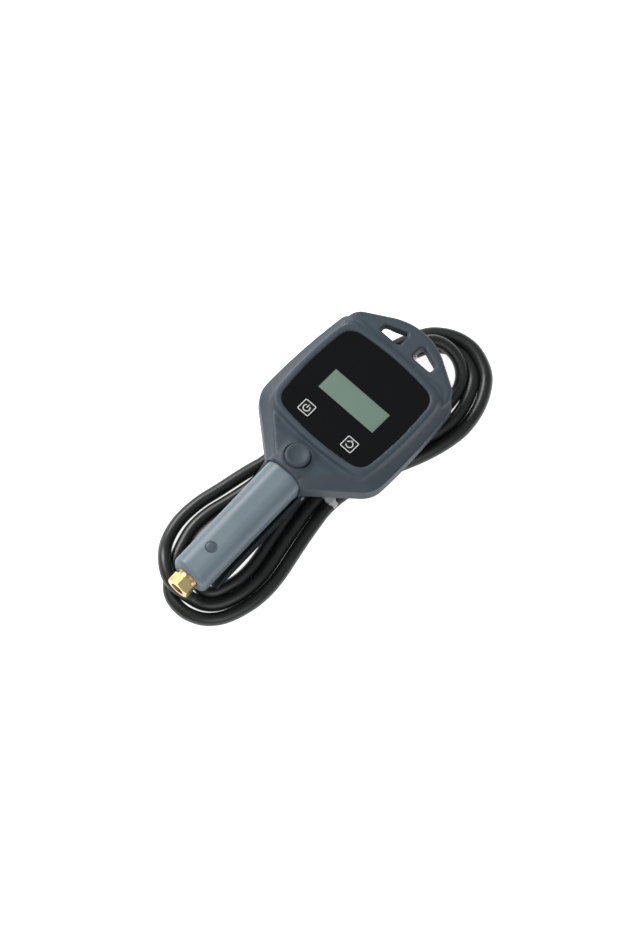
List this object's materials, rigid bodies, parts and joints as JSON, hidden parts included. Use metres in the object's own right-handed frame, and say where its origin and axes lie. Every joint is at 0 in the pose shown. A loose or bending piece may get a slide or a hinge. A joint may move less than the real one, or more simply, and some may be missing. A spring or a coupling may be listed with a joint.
{
  "type": "digital tyre inflator gauge",
  "caption": "Hand-held tyre inflator with a digital display head in a rubber boot, trigger lever, brass air inlet and a coiled hose with a clip-on valve connector.",
  "frame": {"origin": "centre of the air inlet's mouth, on the handle's axis", "axes": "+Y runs from the inlet along the handle to the head, +Z points out of the display face, +X is to the right as the display is read"},
  "size_m": [0.1342, 0.3175, 0.061],
  "materials": {
    "boot_rubber": "satin moulded rubber",
    "handle_plastic": "satin",
    "black_gloss": "gloss",
    "clear_window": "clear",
    "lcd_glass": "smooth",
    "housing_black": "fine texture",
    "brass": "machined",
    "steel": "plated",
    "spring_steel": "drawn wire",
    "lever_metal": "powder coat",
    "valve_aluminium": "machined",
    "board_green": "solder mask",
    "mat_rubber": "silicone",
    "key_face": "gloss",
    "cell_skin": "wrapped cell",
    "contact_metal": "nickel plated",
    "hose_rubber": "smooth hose",
    "tie_nylon": "nylon",
    "connector_metal": "plated",
    "seal_rubber": "seal"
  },
  "bodies": {
    "gauge": {"handle_shell": "handle_plastic", "handle_plug": "handle_plastic", "inlet_adaptor": "brass", "inlet_filter": "steel", "air_tube": "valve_aluminium", "valve_body": "valve_aluminium", "valve_cap": "brass", "valve_spring": "spring_steel", "lever_pin": "steel", "boot": "boot_rubber", "front_housing": "housing_black", "rear_housing": "housing_black", "battery_cover": "housing_black", "housing_screw_1": "steel", "housing_screw_2": "steel", "housing_screw_3": "steel", "housing_screw_4": "steel", "battery_cover_screw": "steel", "battery_cell_1": "cell_skin", "battery_cell_2": "cell_skin", "battery_bridge": "contact_metal", "battery_contact": "contact_metal", "display_plate": "black_gloss", "display_window": "clear_window", "lcd_module": "lcd_glass", "lcd_frame": "housing_black", "circuit_board": "board_green", "key_mat": "mat_rubber", "pressure_sensor": "steel", "outlet_tube": "valve_aluminium", "outlet_fitting": "brass", "outlet_ferrule": "steel", "hose_lead": "hose_rubber", "hose_hank": "hose_rubber", "hose_tail": "hose_rubber", "cable_tie": "tie_nylon", "end_ferrule": "steel", "connector_body": "connector_metal", "clip_pin": "steel", "connector_seal": "seal_rubber"},
    "trigger_lever": {"trigger_lever": "lever_metal"},
    "valve_plunger": {"valve_plunger": "brass"},
    "bleed_button": {"bleed_button": "boot_rubber", "bleed_stem": "steel"},
    "key_left": {"key_left": "key_face"},
    "key_right": {"key_right": "key_face"},
    "connector_clip": {"connector_clip": "connector_metal"}
  },
  "joints": [
    {"name": "lever_press", "type": "hinge", "parent": "gauge", "child": "trigger_lever", "pos_m": [0, 0.122, -0.019], "axis": [-1, 0, 0], "range_deg": [0, 6], "stiffness_Nm_per_rad": 3, "springref_deg": -5.73},
    {"name": "plunger_lift", "type": "slide", "parent": "gauge", "child": "valve_plunger", "axis": [0, 0, 1], "range_m": [0, 0.00255], "deforming": ["valve_spring"]},
    {"name": "bleed_press", "type": "slide", "parent": "gauge", "child": "bleed_button", "axis": [0, -0.1305, -0.9914], "range_m": [0, 0.0015], "stiffness_N_per_m": 1500, "springref_m": -0.001},
    {"name": "key_left_press", "type": "slide", "parent": "gauge", "child": "key_left", "axis": [0, -0.1305, -0.9914], "range_m": [0, 0.0005], "stiffness_N_per_m": 2000, "springref_m": -0.0005},
    {"name": "key_right_press", "type": "slide", "parent": "gauge", "child": "key_right", "axis": [0, -0.1305, -0.9914], "range_m": [0, 0.0005], "stiffness_N_per_m": 2000, "springref_m": -0.0005},
    {"name": "clip_open", "type": "hinge", "parent": "gauge", "child": "connector_clip", "pos_m": [-0.05411, 0.21119, -0.0325], "axis": [0, 0, 1], "range_deg": [0, 8], "stiffness_Nm_per_rad": 0.3, "springref_deg": -11.46}
  ],
  "couplings": [
    {"joint": "plunger_lift", "follows": "lever_press", "m_per_rad": 0.024}
  ]
}
